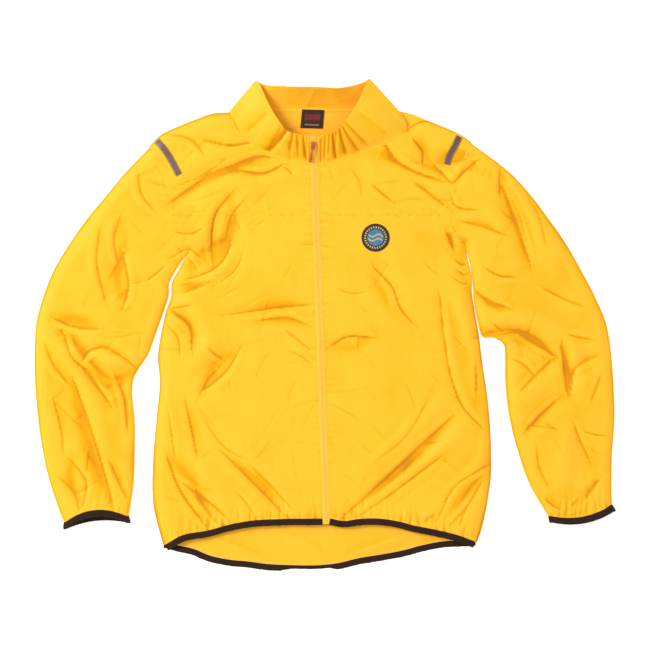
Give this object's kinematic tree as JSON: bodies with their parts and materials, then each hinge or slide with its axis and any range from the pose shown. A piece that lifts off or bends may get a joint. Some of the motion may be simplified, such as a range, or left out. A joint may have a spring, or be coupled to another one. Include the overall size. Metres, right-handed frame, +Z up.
{
  "type": "motorcycle rain jacket laid flat",
  "caption": "Long-sleeved rain jacket laid flat on its back, with a zipped front, a stand collar, bound elastic hem and cuffs, and a hinged zip pull tab.",
  "frame": {"origin": "centre of the jacket's box in plan, on the surface that it lies on", "axes": "+X towards the wearer's left, which is the viewer's right; +Y towards the collar; +Z up, away from the surface"},
  "size_m": [0.937, 0.7928, 0.0354],
  "materials": {
    "shell_cloth": "fine coated weave, slight sheen",
    "zip_tape": "woven tape with a nylon coil",
    "zip_metal": "enamelled",
    "elastic_binding": "ribbed elastic tape",
    "reflective_film": "beaded reflective film",
    "patch": "embroidered",
    "label": "woven satin"
  },
  "bodies": {
    "garment": {"back": "shell_cloth", "front_right": "shell_cloth", "front_left": "shell_cloth", "yoke_right": "shell_cloth", "yoke_left": "shell_cloth", "sleeve_right": "shell_cloth", "sleeve_left": "shell_cloth", "collar": "shell_cloth", "zip_tape_right": "zip_tape", "zip_tape_left": "zip_tape", "zip_slider": "zip_metal", "hem_binding_right": "elastic_binding", "hem_binding_left": "elastic_binding", "hem_binding_back": "elastic_binding", "cuff_binding_right": "elastic_binding", "cuff_binding_left": "elastic_binding", "reflective_strip_right": "reflective_film", "reflective_strip_left": "reflective_film", "chest_patch": "patch", "neck_label": "label"},
    "zip_pull": {"zip_pull": "zip_metal"}
  },
  "joints": [
    {"name": "pull_tab_hinge", "type": "hinge", "parent": "garment", "child": "zip_pull", "pos_m": [-0.01803, 0.28711, 0.02997], "axis": [-0.9839, 0.1541, 0.0906], "range_deg": [0, 150]}
  ]
}
